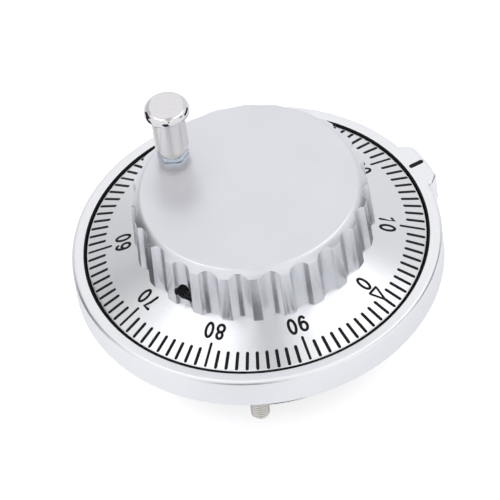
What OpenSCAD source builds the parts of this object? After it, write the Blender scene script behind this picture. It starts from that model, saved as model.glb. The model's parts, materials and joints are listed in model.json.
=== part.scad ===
// Pulse generator handwheel: a round panel-mounted encoder with a graduated dial,
// a fluted knob and a revolving crank handle. The origin is the centre of the
// mounting face, +Z points to the user and +Y to the index tab. Millimetres.

/* [Flange] */
// Outer diameter of the flange
flange_d = 80; // [74:0.5:100]
// Thickness of the flange, from the mounting face to the bezel's top
flange_t = 7.3; // [6.8:0.1:12]
// Width of the bezel's flat ring around the dial recess
bezel_w = 2.95; // [2:0.05:5]
// Thickness of the web that closes the flange under the dial
web_t = 3.2; // [2.6:0.1:3.6]
// Radius on the bezel's outer top edge
bezel_round = 0.8; // [0.3:0.1:1.5]
// Radial reach of the index tab past the flange
tab_reach = 2.3; // [1:0.1:5]
// Width of the index tab at its outer end
tab_w = 9.8; // [6:0.1:16]

/* [Mounting studs] */
// Thread diameter of the studs
stud_d = 4; // [3:0.1:5]
// Distance of each stud's axis from the flange's edge
stud_inset = 4; // [3.2:0.1:4.4]
// Number of studs
stud_n = 3; // [2:1:4]
// Length of stud that stands out of the mounting face
stud_out = 7.4; // [4:0.1:20]

/* [Dial] */
// Radial gap between the dial's edge and the bezel
dial_gap = 0.45; // [0.3:0.05:2]
// How far the dial's edge lies below the flange's top
dial_sink = 0.158; // [0:0.002:0.5]
// Slope of the conical dial face, in degrees
dial_slope = 19.36; // [12:0.1:21]
// Thickness of the dial, measured along the axis
dial_t = 1.3; // [1:0.05:1.4]
// Thickness of the dial's flat centre, where the knob is screwed on
dial_seat_t = 2.06; // [1.6:0.01:2.4]

/* [Knob] */
// Diameter of the knob at its foot, over the crests between its flutes
knob_d = 51.7; // [48:0.1:54]
// Height of the knob above the dial's flat seat
knob_h = 13.24; // [11:0.02:24]
// Number of flutes
flute_n = 24; // [18:1:30]
// Depth of each flute
flute_depth = 1.05; // [0.6:0.05:1.6]
// Radius of the cutter that makes a flute
flute_r = 3; // [2.4:0.1:3.4]
// Angle of the first flute
flute_phase = 340.4; // [330:0.1:360]
// How much slimmer the knob is at the foot of its bevel than at its own foot, in radius
knob_taper = 0.52; // [0:0.02:1]
// Width of the bevel around the top face, at the crests
knob_bevel_w = 1.98; // [1:0.02:3]
// Drop of the bevel at the crests
knob_bevel_drop = 1.42; // [0.8:0.02:2]
// Width of the bevel's upper, flatter part
knob_brow_w = 1; // [0.4:0.02:1.6]
// Drop of the bevel's upper, flatter part
knob_brow_drop = 0.62; // [0.1:0.02:0.7]
// Thickness of the knob's top
knob_roof = 4; // [3:0.1:4.2]
// Radius of the boss that holds the shaft
boss_r = 8; // [6:0.1:10]
// Height of the set screw above the underside of the boss
set_screw_rise = 2.8; // [2.6:0.1:5]
// Flute that the set screw goes in at, counted from the first
set_screw_flute = 21; // [0:1:29]

/* [Handle] */
// Distance of the handle's axis from the edge of the knob's flat top
handle_inset = 3.55; // [3:0.05:10]
// Angle of the handle
handle_angle = 205.8; // [0:0.1:360]
// Diameter of the handle's sleeve
grip_d = 7.3; // [7:0.1:10]
// Length of the handle over its cap
grip_len = 12; // [11:0.1:30]
// Diameter of the cap
cap_d = 9.96; // [8:0.02:14]
// Thickness of the cap
cap_t = 2.05; // [1.5:0.05:4]
// Share of the cap's thickness in the rounding of its crown
cap_crown = 0.69; // [0.4:0.01:0.7]
// Share of the cap's thickness in the rounding of its lip
cap_lip = 0.27; // [0.1:0.01:0.29]
// Thread diameter of the spindle
spindle_d = 4; // [3.5:0.1:4.2]
// Width across the flats of the lock nut
nut_af = 6; // [6:0.5:8]
// Thickness of the lock nut
nut_t = 1.3; // [1.2:0.1:4]
// Thickness of the washer under the handle
handle_washer_t = 1.25; // [0.2:0.05:2]

/* [Bearings and shaft] */
// Diameter of the shaft
shaft_d = 6; // [5:0.1:6.4]
// Outer diameter of each ball bearing
bearing_d = 13; // [12.6:0.1:15]
// Width of each ball bearing
bearing_w = 5; // [4:0.1:5.2]
// Thickness of the washer between the upper bearing and the knob's boss
shim_t = 1; // [0.4:0.1:2]
// Balls in each bearing
ball_n = 8; // [6:1:9]
// Diameter of a ball
ball_d = 1.6; // [1.2:0.05:1.7]
// Wall of the hub around the bearings
hub_wall = 3; // [2:0.1:3.4]

/* [Detent] */
// Number of detent steps in a turn
detent_n = 100; // [60:1:120]
// Radial depth of each pole shoe
pole_depth = 3.1; // [2:0.1:3.2]
// Air gap between the wheel and its pole shoes
detent_gap = 0.4; // [0.3:0.05:0.8]
// Depth of a detent tooth
tooth_depth = 0.7; // [0.4:0.05:1]

/* [Encoder] */
// Diameter of the rear housing
housing_d = 58.8; // [57:0.1:61]
// Depth of the rear housing behind the mounting face
housing_depth = 12.5; // [12.5:0.1:20]
// Wall of the rear housing
housing_wall = 1.6; // [1.2:0.1:2.4]
// Thickness of the rear cover
cover_t = 1.2; // [1:0.1:2]
// Gap between the code disc's edge and the housing's posts
code_disc_gap = 1.6; // [0.5:0.1:3]
// Number of slots in the code disc
code_slot_n = 100; // [60:1:100]
// Thickness of the circuit board
board_t = 1.2; // [1:0.1:1.4]

/* [Terminal block] */
// Number of terminals
pole_n = 6; // [4:1:6]
// Distance between terminals
pole_pitch = 5; // [4.6:0.05:5.1]
// Width of the block
block_w = 11; // [10:0.1:14]
// Height of the block behind the circuit board
block_h = 10; // [9.6:0.1:14]

/* [Hidden] */
$fn = 72;

// Radial gap of a part that is fixed in its bore, and of one that turns in it
fixed_gap = 0.02;
turning_gap = 0.06;
// Room left past the tip of a screw in its blind hole
tip_gap = 0.4;
// Length that a cutting body stands past the face it cuts
cut = 1;

// Flange
flange_r = flange_d / 2;
recess_r = flange_r - bezel_w;
shelf_w = 4.55;
shelf_drop = 2.3;
shelf_in_r = recess_r - shelf_w;
shelf_z = flange_t - shelf_drop;
hub_r = bearing_d / 2 + hub_wall;
stud_orbit = flange_r - stud_inset;
stud_root_r = stud_d / 2 + 0.3;
stud_tip = 0.5;
stud_in = shelf_z - 0.8;
stud_angles = [for (i = [0:stud_n - 1]) 90 + i * 360 / stud_n];

// Index tab: its corners lie a little inside its arc, and flanks slope down from them
tab_corner = 0.28;
tab_flank_w = 1.85;
tab_flank_h = 1.95;
tab_root = 1;

// Raised pad on the flange's back, which the rear housing is screwed to
housing_r = housing_d / 2;
pad_r = housing_r + 0.1;
pad_t = 0.4;

// Heights down the encoder's stack, from the rear cover to the lower bearing
cover_z = -housing_depth;
cover_top = cover_z + cover_t;
board_rise = 1.6;
board_bottom = cover_top + board_rise;
board_top = board_bottom + board_t;
disc_rise = 1.3;
disc_z = board_top + disc_rise;
bearing_rise = 4.4;
lower_z = disc_z + bearing_rise;

// Heights of the dial's seat and of what is above and below it
dial_r = recess_r - dial_gap;
dial_edge_z = flange_t - dial_sink;
dial_fall = tan(dial_slope);
knob_r = knob_d / 2;
flute_floor_r = knob_r - flute_depth;
seat_inset = 0.5;
seat_r = flute_floor_r - seat_inset;
seat_z = dial_edge_z + (dial_r - seat_r) * dial_fall;
seat_under_z = seat_z - dial_seat_t;
dial_under_r = dial_r - (seat_under_z - dial_edge_z + dial_t) / dial_fall;
boss_rise = 0.54;
boss_bottom = seat_z + boss_rise;
bearing_top = boss_bottom - shim_t;
upper_z = bearing_top - bearing_w;

// Bearings
bearing_r = bearing_d / 2;
shaft_r = shaft_d / 2;
ball_orbit = (bearing_r + shaft_r) / 2;
ball_r = ball_d / 2;
race_gap = 0.05;
ring_edge = 0.45;
shield_t = 0.3;
shield_gap = 0.1;
hub_lip = 0.2;
circlip_t = 0.8;
hub_skirt = 1.8;
hub_top = bearing_top + hub_lip;
hub_bottom = lower_z - hub_skirt;
hub_shoulder_r = bearing_r - 0.9;
hub_groove_r = bearing_r + 0.4;
cage_half_t = 0.25;
cage_edge = 0.5;
circlip_gap = 1.2;

// Dial and knob
dial_hole_r = hub_r + 3.5;
knob_top = seat_z + knob_h;
knob_neck_r = knob_r - knob_taper;
knob_neck_z = knob_top - knob_bevel_drop;
knob_flat_r = knob_neck_r - knob_bevel_w;
knob_draft = atan(knob_taper / (knob_neck_z - seat_z));
flute_angles = [for (i = [0:flute_n - 1]) flute_phase + i * 360 / flute_n];
roof_z = knob_top - knob_roof;
set_screw_z = boss_bottom + set_screw_rise;
set_screw_angle = flute_phase + set_screw_flute * 360 / flute_n;
set_screw_r = 2.5;
set_screw_len = 5;
socket_r = 1.15;
socket_depth = 2;
shaft_flat = 0.5;
shaft_flat_rise = 2.6;
dial_screw_n = 4;
dial_screw_r = 1.25;
dial_screw_len = 7;
dial_head_r = 2.1;
dial_head_t = 1.3;
dial_screw_angles = [for (i = [0:dial_screw_n - 1]) 45 + i * 360 / dial_screw_n];

// Detent: a hat-shaped ring under the dial with teeth on its brim
detent_t = 1.8;
pole_out_r = shelf_in_r - 0.5;
detent_r = pole_out_r - pole_depth - detent_gap;
pole_drop = 0.76;
detent_z = dial_edge_z - dial_t + (dial_r - pole_out_r) * dial_fall - pole_drop - detent_t;
detent_hat_t = 1.2;
detent_brim = 2.5;
hat_inset = 0.46;
detent_wall_r = min(dial_under_r - hat_inset, detent_r - detent_brim);
detent_wall = 1.6;
detent_pitch = 360 / detent_n;
pole_angles = [0, 180];
pole_w = 8;

// The dial screws stay inside the hat's wall and the flutes, and the hollow inside the screws
screw_hat_inset = 4.15;
screw_flute_inset = 2.95;
screw_wall = 2.35;
dial_screw_orbit = min(detent_wall_r - screw_hat_inset, flute_floor_r - screw_flute_inset);
knob_hollow_r = dial_screw_orbit - screw_wall;

// Handle
handle_orbit = knob_flat_r - handle_inset;
handle_x = handle_orbit * cos(handle_angle);
handle_y = handle_orbit * sin(handle_angle);
spindle_r = spindle_d / 2;
nut_z = knob_top;
washer_z = nut_z + nut_t;
grip_gap = 0.15;
grip_z = washer_z + handle_washer_t + grip_gap;
grip_top = grip_z + grip_len;
grip_r = grip_d / 2;
cap_r = cap_d / 2;
sleeve_top = grip_top - cap_t;
sleeve_wall = 0.75;
head_r = grip_r - sleeve_wall;
head_t = 1.7;
head_drop = 4.1;
head_z = sleeve_top - head_drop;
head_gap = 0.15;
plug_len = 1.9;
crown_r = cap_crown * cap_t;
crown_z = grip_top - crown_r;
lip_r = cap_lip * cap_t;
lip_z = sleeve_top + lip_r;
nut_chamfer = 0.35;
nut_face_r = nut_af * 0.47;
nut_edge_r = nut_af / 2 / cos(30);
spindle_slot_w = 0.8;

// Rear housing, encoder and terminals
post_r = 3.2;
post_orbit = housing_r - 4;
post_angles = [30, 150, 270];
cover_screw_r = 1.5;
cover_head_r = 2.75;
cover_head_t = 1.8;
cover_screw_top = web_t - 0.5;
board_gap = 0.4;
board_r = housing_r - housing_wall - board_gap;
board_hole_r = 3.2;
board_post_r = 2.4;
board_post_orbit = housing_r - 4.2;
board_post_angles = [90, 210, 330];
post_web = 3;
board_screw_r = 1;
board_screw_len = 6;
board_head_r = 1.9;
board_head_t = 1;
disc_t = 0.3;
code_disc_r = post_orbit - post_r - code_disc_gap;
disc_hub_r = 6;
disc_nose_r = 4.4;
disc_nose_top = lower_z - circlip_t - 0.3;
clamp_plate_r = 5;
clamp_plate_t = 0.6;
clamp_screw_r = 1;
clamp_screw_len = 6;
clamp_head_r = 2;
clamp_head_t = 1;
shaft_bottom = disc_z;
shaft_top = roof_z - 0.3;
slot_in_r = code_disc_r - 3.6;
slot_out_r = code_disc_r - 1.2;
code_pitch = 360 / code_slot_n;
module_angle = 60;
module_in_r = code_disc_r - 5.4;
module_wall_r = code_disc_r + 0.6;
module_out_r = module_wall_r + 2.4;
module_w = 8;
module_slot_low = disc_z - 0.35;
module_slot_high = disc_z + disc_t + 0.4;
module_top = disc_z + 3.3;
sense_r = (slot_in_r + slot_out_r) / 2;
lamp_r = 1.5;
chip_size = 3;
chip_rise = 0.3;
block_len = pole_n * pole_pitch + 1;
block_bottom = board_bottom - block_h;
block_gap = 0.4;
clamp_x = 3.6;
clamp_y = 6;
clamp_z = 4.6;
clamp_low = block_bottom + 2.9;
clamp_gap = 0.05;
well_r = 2;
terminal_screw_r = 1.25;
terminal_head_r = 1.8;
terminal_head_t = 1.2;
pin_side = 0.9;
pin_y = 1.1 - block_w / 2;
pin_rise = 0.6;
wire_w = 2.5;
terminal_screw_len = 2.2;
terminal_slot_w = 0.6;

// Small parts on the back of the circuit board
parts_y = block_w / 2 + 5;
driver_x = 9;
driver_size = [9.9, 3.9, 1.2];
driver_lift = 0.1;
leg_n = 8;
leg_pitch = 1.2;
leg_row = 2.5;
leg_size = [0.4, 1.4, 0.5];
capacitor_size = [3.2, 1.6, 1.1];
capacitor_places = [[-14, parts_y], [-8, parts_y], [-12, -parts_y]];

// Copies its children around the axis at the given angles and radius
module around(angles, r) {
    for (a = angles)
        rotate([0, 0, a])
            translate([r, 0, 0])
                children();
}

// Ring between two radii and two heights
module ring(out_r, in_r, z0, z1) {
    difference() {
        translate([0, 0, z0])
            cylinder(h = z1 - z0, r = out_r);
        translate([0, 0, z0 - cut])
            cylinder(h = z1 - z0 + 2 * cut, r = in_r);
    }
}

// Straight rod from z0 to z1
module rod(r, z0, z1) {
    translate([0, 0, z0])
        cylinder(h = z1 - z0, r = r);
}

// Box from one corner height to another, centred on X and Y
module block(x, y, z0, z1) {
    translate([-x / 2, -y / 2, z0])
        cube([x, y, z1 - z0]);
}

// Screw with a pan head: the head lies below z, the shank above it
module screw_up(shank_r, shank_len, pan_r, pan_h, slot_w) {
    difference() {
        union() {
            rod(shank_r, -pan_h / 2, shank_len);
            rod(pan_r, -pan_h, 0);
        }
        block(slot_w, 3 * pan_r, -2 * pan_h, -pan_h / 2);
        block(3 * pan_r, slot_w, -2 * pan_h, -pan_h / 2);
    }
}

// Outline of the index tab, pointing along +Y
module tab_outline() {
    tip_y = flange_r + tab_reach - tab_corner;
    foot_y = tip_y - tab_flank_h;
    root_y = flange_r - tab_root;
    half = tab_w / 2;
    foot = half + tab_flank_w;
    intersection() {
        polygon([[-foot, root_y], [-foot, foot_y], [-half, tip_y], [-half, tip_y + cut],
            [half, tip_y + cut], [half, tip_y], [foot, foot_y], [foot, root_y]]);
        circle(r = flange_r + tab_reach, $fn = 120);
    }
}

module bezel_flange() {
    color("gainsboro")
        difference() {
            union() {
                rod(flange_r, 0, flange_t - bezel_round);
                rod(flange_r - bezel_round, 0, flange_t);
                translate([0, 0, flange_t - bezel_round])
                    rotate_extrude()
                        translate([flange_r - bezel_round, 0])
                            circle(r = bezel_round, $fn = 48);
                linear_extrude(height = flange_t)
                    tab_outline();
                rod(hub_r, hub_bottom, hub_top);
                rod(pad_r, -pad_t, web_t / 2);
            }
            difference() {
                rod(recess_r, shelf_z, flange_t + cut);
                rod(hub_r, shelf_z - cut, hub_top + cut);
            }
            difference() {
                rod(shelf_in_r, web_t, shelf_z + cut);
                rod(hub_r, web_t - cut, hub_top + cut);
            }
            rod(bearing_r + fixed_gap, hub_bottom - cut, lower_z + bearing_w);
            rod(hub_shoulder_r, lower_z + bearing_w - cut, upper_z + cut);
            rod(bearing_r + fixed_gap, upper_z, hub_top + cut);
            rod(hub_groove_r, lower_z - circlip_t - fixed_gap, lower_z);
            around(stud_angles, stud_orbit)
                rod(stud_root_r + fixed_gap, -cut, stud_in + 0.1);
            around(post_angles, post_orbit)
                rod(cover_screw_r + fixed_gap, -cut, cover_screw_top + 0.2);
        }
}

// Studs with a thicker root that is pressed into the flange from behind
module mounting_studs() {
    color("silver")
        around(stud_angles, stud_orbit) {
            rod(stud_root_r, 0, stud_in);
            rod(stud_d / 2, -stud_out + stud_tip, stud_in / 2);
            translate([0, 0, -stud_out])
                cylinder(h = stud_tip, r1 = stud_d / 2 - stud_tip, r2 = stud_d / 2);
        }
}

module rear_housing() {
    color([0.12, 0.12, 0.13])
        difference() {
            union() {
                ring(housing_r, housing_r - housing_wall, cover_top, -pad_t);
                intersection() {
                    rod(housing_r - housing_wall / 2, cover_top, -pad_t);
                    union() {
                        around(post_angles, post_orbit)
                            rod(post_r, cover_top, -pad_t);
                        around(board_post_angles, board_post_orbit) {
                            rod(board_post_r, board_top, -pad_t);
                            translate([post_web / 2, 0, 0])
                                block(post_web, 1.5 * board_post_r, board_top, -pad_t);
                        }
                    }
                }
            }
            around(post_angles, post_orbit)
                rod(cover_screw_r + fixed_gap, cover_top - cut, cut);
            around(board_post_angles, board_post_orbit)
                rod(board_screw_r + fixed_gap, board_top - cut,
                    board_bottom + board_screw_len + tip_gap);
        }
}

module rear_cover() {
    color([0.14, 0.14, 0.15])
        difference() {
            rod(housing_r, cover_z, cover_top);
            block(block_len + 2 * block_gap, block_w + 2 * block_gap,
                cover_z - cut, cover_top + cut);
            around(post_angles, post_orbit)
                rod(cover_screw_r + fixed_gap, cover_z - cut, cover_top + cut);
        }
}

module cover_screws() {
    color("dimgray")
        around(post_angles, post_orbit)
            translate([0, 0, cover_z])
                screw_up(cover_screw_r, cover_screw_top - cover_z, cover_head_r,
                    cover_head_t, 0.8);
}

// Section of a bearing ring with its race, drawn for one height
module race_ring(out_r, in_r) {
    difference() {
        ring(out_r, in_r, 0, bearing_w);
        translate([0, 0, bearing_w / 2])
            rotate_extrude()
                translate([ball_orbit, 0])
                    circle(r = ball_r + race_gap, $fn = 48);
    }
}

module bearing_outer_rings() {
    color("silver")
        for (z = [lower_z, upper_z])
            translate([0, 0, z])
                difference() {
                    race_ring(bearing_r, ball_orbit + ring_edge);
                    for (s = [-cut, bearing_w - shield_t - fixed_gap])
                        rod(ball_orbit + ring_edge + 0.3, s, s + cut + shield_t + fixed_gap);
                }
}

module bearing_inner_rings() {
    color("silver")
        for (z = [lower_z, upper_z])
            translate([0, 0, z])
                race_ring(ball_orbit - ring_edge, shaft_r + fixed_gap);
}

module bearing_shields() {
    color("lightgray")
        for (z = [lower_z, upper_z], s = [0, bearing_w - shield_t])
            ring(ball_orbit + ring_edge + 0.3 - fixed_gap,
                ball_orbit - ring_edge + shield_gap, z + s, z + s + shield_t);
}

module bearing_balls() {
    color("silver")
        for (z = [lower_z, upper_z])
            around([for (i = [0:ball_n - 1]) i * 360 / ball_n], ball_orbit)
                translate([0, 0, z + bearing_w / 2])
                    sphere(r = ball_r, $fn = 24);
}

// Cage bands with a round pocket for each ball
module bearing_cages() {
    half_w = ball_r + cage_edge;
    color("peru")
        for (z = [lower_z, upper_z])
            translate([0, 0, z + bearing_w / 2])
                difference() {
                    ring(ball_orbit + cage_half_t, ball_orbit - cage_half_t, -half_w, half_w);
                    around([for (i = [0:ball_n - 1]) i * 360 / ball_n], 0)
                        rotate([0, 90, 0])
                            rod(ball_r + race_gap, ball_orbit - cut, ball_orbit + cut);
                }
}

// Circlip with a gap at +X
module circlip(out_r, in_r, t) {
    difference() {
        ring(out_r, in_r, 0, t);
        translate([0, -circlip_gap / 2, -cut])
            cube([out_r + cut, circlip_gap, t + 2 * cut]);
    }
}

module hub_circlip() {
    color("dimgray")
        translate([0, 0, lower_z - circlip_t])
            circlip(bearing_r + 0.38, bearing_r - 1.1, circlip_t);
}

module shaft_circlip() {
    color("dimgray")
        translate([0, 0, lower_z - circlip_t])
            circlip(shaft_r + 1.1, shaft_r - 0.28, circlip_t);
}

module detent_magnets() {
    color("dimgray")
        around(pole_angles, detent_r + detent_gap + pole_depth / 2)
            block(pole_depth, pole_w, web_t, detent_z);
}

// Toothed outline: crests at out_r, gaps at out_r - depth, n teeth
module toothed_disc(out_r, depth, n) {
    step = 360 / n;
    polygon([for (i = [0:n - 1], p = [[-0.3, 1], [-0.16, 0], [0.16, 0], [0.3, 1]])
        (out_r - depth * p[1]) * [cos((i + p[0]) * step), sin((i + p[0]) * step)]]);
}

module detent_pole_shoes() {
    in_r = detent_r + detent_gap;
    color("slategray")
        around(pole_angles, 0)
            difference() {
                translate([in_r, -pole_w / 2, detent_z])
                    cube([pole_depth, pole_w, detent_t]);
                rod(in_r, detent_z - cut, detent_z + detent_t + cut);
                around([for (k = [-2:1]) (k + 0.5) * detent_pitch], in_r)
                    block(2 * tooth_depth, in_r * sin(detent_pitch) / 2,
                        detent_z - cut, detent_z + detent_t + cut);
            }
}

module detent_wheel() {
    hat_in_r = knob_hollow_r - 0.5;
    color("slategray")
        difference() {
            union() {
                translate([0, 0, detent_z])
                    linear_extrude(height = detent_t)
                        toothed_disc(detent_r, tooth_depth, detent_n);
                rod(detent_wall_r, detent_z, seat_under_z);
            }
            rod(detent_wall_r - detent_wall, detent_z - cut, seat_under_z - detent_hat_t);
            rod(hat_in_r, detent_z, seat_under_z + cut);
            around(dial_screw_angles, dial_screw_orbit)
                rod(dial_screw_r + fixed_gap, detent_z, seat_under_z + cut);
        }
}

// The dial's profile: a cone that rises inward to a flat seat under the knob
module dial() {
    color("lightgray")
        difference() {
            rotate_extrude($fn = 120)
                polygon([[dial_hole_r, seat_under_z], [dial_under_r, seat_under_z],
                    [dial_r, dial_edge_z - dial_t], [dial_r, dial_edge_z],
                    [seat_r, seat_z], [dial_hole_r, seat_z]]);
            around(dial_screw_angles, dial_screw_orbit)
                rod(dial_screw_r + fixed_gap, seat_under_z - cut, seat_z + cut);
        }
}

module dial_screws() {
    color("dimgray")
        around(dial_screw_angles, dial_screw_orbit)
            translate([0, 0, seat_under_z - detent_hat_t])
                screw_up(dial_screw_r, dial_screw_len, dial_head_r, dial_head_t, 0.6);
}

// Everything below the dial's top surface, for trimming the knob's foot
module under_knob() {
    far_r = dial_r + 6;
    rotate_extrude($fn = 120)
        polygon([[0, 0], [far_r, 0], [far_r, seat_z - (far_r - seat_r) * dial_fall],
            [seat_r, seat_z], [0, seat_z]]);
}

// A slightly tapered knob; its flutes are cut along the taper
module knob() {
    low_r = knob_r + (seat_z - dial_edge_z) * tan(knob_draft);
    color("silver")
        difference() {
            rotate_extrude($fn = 120)
                polygon([[0, dial_edge_z], [low_r, dial_edge_z], [knob_neck_r, knob_neck_z],
                    [knob_flat_r + knob_brow_w, knob_top - knob_brow_drop],
                    [knob_flat_r, knob_top], [0, knob_top]]);
            under_knob();
            around(flute_angles, flute_floor_r + flute_r)
                translate([0, 0, seat_z])
                    rotate([0, -knob_draft, 0])
                        rod(flute_r, -seat_z, knob_h + cut);
            difference() {
                rod(knob_hollow_r, dial_edge_z, roof_z);
                rod(boss_r, 0, roof_z + cut);
            }
            rod(boss_r + cut, dial_edge_z, boss_bottom);
            rod(shaft_r + fixed_gap, boss_bottom - cut, shaft_top + 0.1);
            around(dial_screw_angles, dial_screw_orbit)
                rod(dial_screw_r + fixed_gap, seat_z - cut,
                    seat_under_z - detent_hat_t + dial_screw_len + tip_gap);
            rotate([0, 0, set_screw_angle])
                translate([0, 0, set_screw_z])
                    rotate([0, 90, 0])
                        rod(set_screw_r + fixed_gap, 0, knob_r + cut);
            translate([handle_x, handle_y, 0])
                rod(spindle_r + fixed_gap, roof_z - 0.1, knob_top + cut);
        }
}

module set_screw() {
    color("dimgray")
        rotate([0, 0, set_screw_angle])
            translate([shaft_r - shaft_flat, 0, set_screw_z])
                rotate([0, 90, 0])
                    difference() {
                        rod(set_screw_r, 0, set_screw_len);
                        translate([0, 0, set_screw_len - socket_depth])
                            cylinder(h = socket_depth + cut, r = socket_r, $fn = 6);
                    }
}

module shaft() {
    color("silver")
        difference() {
            rod(shaft_r, shaft_bottom, shaft_top);
            ring(shaft_r + cut, shaft_r - 0.3, lower_z - circlip_t - fixed_gap, lower_z);
            rotate([0, 0, set_screw_angle])
                translate([shaft_r - shaft_flat, -shaft_r - cut, set_screw_z - shaft_flat_rise])
                    cube([cut + shaft_flat, shaft_d + 2 * cut, shaft_top]);
            rod(clamp_screw_r + fixed_gap, shaft_bottom - cut, shaft_bottom + clamp_screw_len);
        }
}

module bearing_spacer() {
    color("goldenrod")
        ring(ball_orbit - ring_edge, shaft_r + fixed_gap, lower_z + bearing_w, upper_z);
}

module shim_washer() {
    color("lightgray")
        ring(ball_orbit - ring_edge, shaft_r + fixed_gap, bearing_top, boss_bottom);
}

module code_disc() {
    slot_w = slot_in_r * sin(code_pitch) / 2;
    color([0.25, 0.25, 0.28])
        difference() {
            ring(code_disc_r, shaft_r + fixed_gap, disc_z, disc_z + disc_t);
            around([for (i = [0:code_slot_n - 1]) i * code_pitch], sense_r)
                block(slot_out_r - slot_in_r, slot_w, disc_z - cut, disc_z + disc_t + cut);
        }
}

module code_disc_hub() {
    color("goldenrod")
        difference() {
            union() {
                rod(disc_hub_r, disc_z + disc_t, hub_bottom - 0.4);
                rod(disc_nose_r, disc_z + disc_t, disc_nose_top);
            }
            rod(shaft_r + fixed_gap, disc_z - cut, disc_nose_top + cut);
        }
}

module disc_clamp_plate() {
    color("silver")
        ring(clamp_plate_r, clamp_screw_r + fixed_gap, disc_z - clamp_plate_t, disc_z);
}

module disc_clamp_screw() {
    color("dimgray")
        translate([0, 0, disc_z - clamp_plate_t])
            screw_up(clamp_screw_r, clamp_screw_len, clamp_head_r, clamp_head_t, 0.5);
}

module circuit_board() {
    color("darkgreen")
        difference() {
            rod(board_r, board_bottom, board_top);
            rod(board_hole_r, board_bottom - cut, board_top + cut);
            around(post_angles, post_orbit)
                rod(post_r + board_gap, board_bottom - cut, board_top + cut);
            around(post_angles, post_orbit + post_web)
                block(2 * post_web, 1.9 * post_r, board_bottom - cut, board_top + cut);
            around(board_post_angles, board_post_orbit)
                rod(board_screw_r + fixed_gap, board_bottom - cut, board_top + cut);
            for (i = [0:pole_n - 1])
                translate([(i - (pole_n - 1) / 2) * pole_pitch, pin_y, 0])
                    rod(pin_side * 0.75, board_bottom - cut, board_top + cut);
        }
}

module board_screws() {
    color("silver")
        around(board_post_angles, board_post_orbit)
            translate([0, 0, board_bottom])
                screw_up(board_screw_r, board_screw_len, board_head_r, board_head_t, 0.5);
}

module sensor_module() {
    color([0.1, 0.1, 0.1])
        rotate([0, 0, module_angle])
            difference() {
                translate([module_in_r, -module_w / 2, board_top])
                    cube([module_out_r - module_in_r, module_w, module_top - board_top]);
                translate([module_in_r - cut, -module_w, module_slot_low])
                    cube([module_wall_r - module_in_r + cut, 2 * module_w,
                        module_slot_high - module_slot_low]);
                translate([sense_r, 0, 0])
                    rod(lamp_r + fixed_gap, module_slot_high - cut, module_top + cut);
                translate([sense_r, 0, 0])
                    block(chip_size + 0.1, chip_size + 0.1, board_top + chip_rise,
                        module_slot_low + cut);
            }
}

module light_emitter() {
    color("mistyrose")
        rotate([0, 0, module_angle])
            translate([sense_r, 0, 0])
                rod(lamp_r, module_slot_high + 0.1, module_top);
}

module photo_detector() {
    color([0.2, 0.1, 0.25])
        rotate([0, 0, module_angle])
            translate([sense_r, 0, 0])
                block(chip_size, chip_size, board_top + chip_rise, module_slot_low - 0.05);
}

module line_driver_chip() {
    color([0.08, 0.08, 0.08])
        translate([driver_x, parts_y, 0]) {
            block(driver_size[0], driver_size[1], board_bottom - driver_size[2],
                board_bottom - driver_lift);
            for (i = [0:leg_n - 1], side = [-1, 1])
                translate([(i - (leg_n - 1) / 2) * leg_pitch, side * leg_row, 0])
                    block(leg_size[0], leg_size[1], board_bottom - leg_size[2], board_bottom);
        }
}

module board_capacitors() {
    color("burlywood")
        for (p = capacitor_places)
            translate([p[0], p[1], 0])
                block(capacitor_size[0], capacitor_size[1],
                    board_bottom - capacitor_size[2], board_bottom);
}

// Copies its children to each terminal of the block
module at_poles() {
    for (i = [0:pole_n - 1])
        translate([(i - (pole_n - 1) / 2) * pole_pitch, 0, 0])
            children();
}

module terminal_block() {
    color([0.1, 0.1, 0.11])
        difference() {
            block(block_len, block_w, block_bottom, board_bottom);
            at_poles() {
                rod(well_r, block_bottom - cut, clamp_low + cut);
                block(clamp_x + 2 * clamp_gap, clamp_y + 2 * clamp_gap, clamp_low,
                    clamp_low + clamp_z + clamp_gap);
                translate([0, -block_w / 2, clamp_low + clamp_z / 2])
                    cube([wire_w + 0.3, block_w, wire_w + 0.3], center = true);
                translate([0, pin_y, 0])
                    block(pin_side + 0.1, pin_side + 0.1, clamp_low + clamp_z - 1.05,
                        board_bottom + cut);
                translate([0, pin_y + 0.7, clamp_low + clamp_z - 0.5])
                    cube([pin_side + 0.1, 2.4, 1.1], center = true);
            }
        }
}

module terminal_clamps() {
    wall = (clamp_z - wire_w) / 2;
    color("goldenrod")
        at_poles()
            difference() {
                block(clamp_x, clamp_y, clamp_low, clamp_low + clamp_z);
                translate([0, 0, clamp_low + clamp_z / 2])
                    cube([wire_w, clamp_y + cut, wire_w], center = true);
                rod(terminal_screw_r + fixed_gap, clamp_low - cut, clamp_low + wall + 0.5);
            }
}

module terminal_screws() {
    color("silver")
        at_poles()
            difference() {
                union() {
                    rod(terminal_head_r, clamp_low - terminal_head_t, clamp_low);
                    rod(terminal_screw_r, clamp_low - terminal_head_t / 2,
                        clamp_low + terminal_screw_len);
                }
                block(terminal_slot_w, 3 * terminal_head_r, clamp_low - terminal_head_t - cut,
                    clamp_low - terminal_head_t / 2);
            }
}

module terminal_pins() {
    color("gold")
        at_poles()
            translate([0, pin_y, 0])
                block(pin_side, pin_side, clamp_low + clamp_z - 1, board_top + pin_rise);
}

module handle_spindle() {
    color("silver")
        translate([handle_x, handle_y, 0])
            difference() {
                union() {
                    rod(spindle_r, roof_z + 0.1, head_z);
                    rod(head_r, head_z, head_z + head_t);
                }
                block(spindle_slot_w, 3 * head_r, head_z + head_t / 2, head_z + head_t + cut);
            }
}

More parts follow.
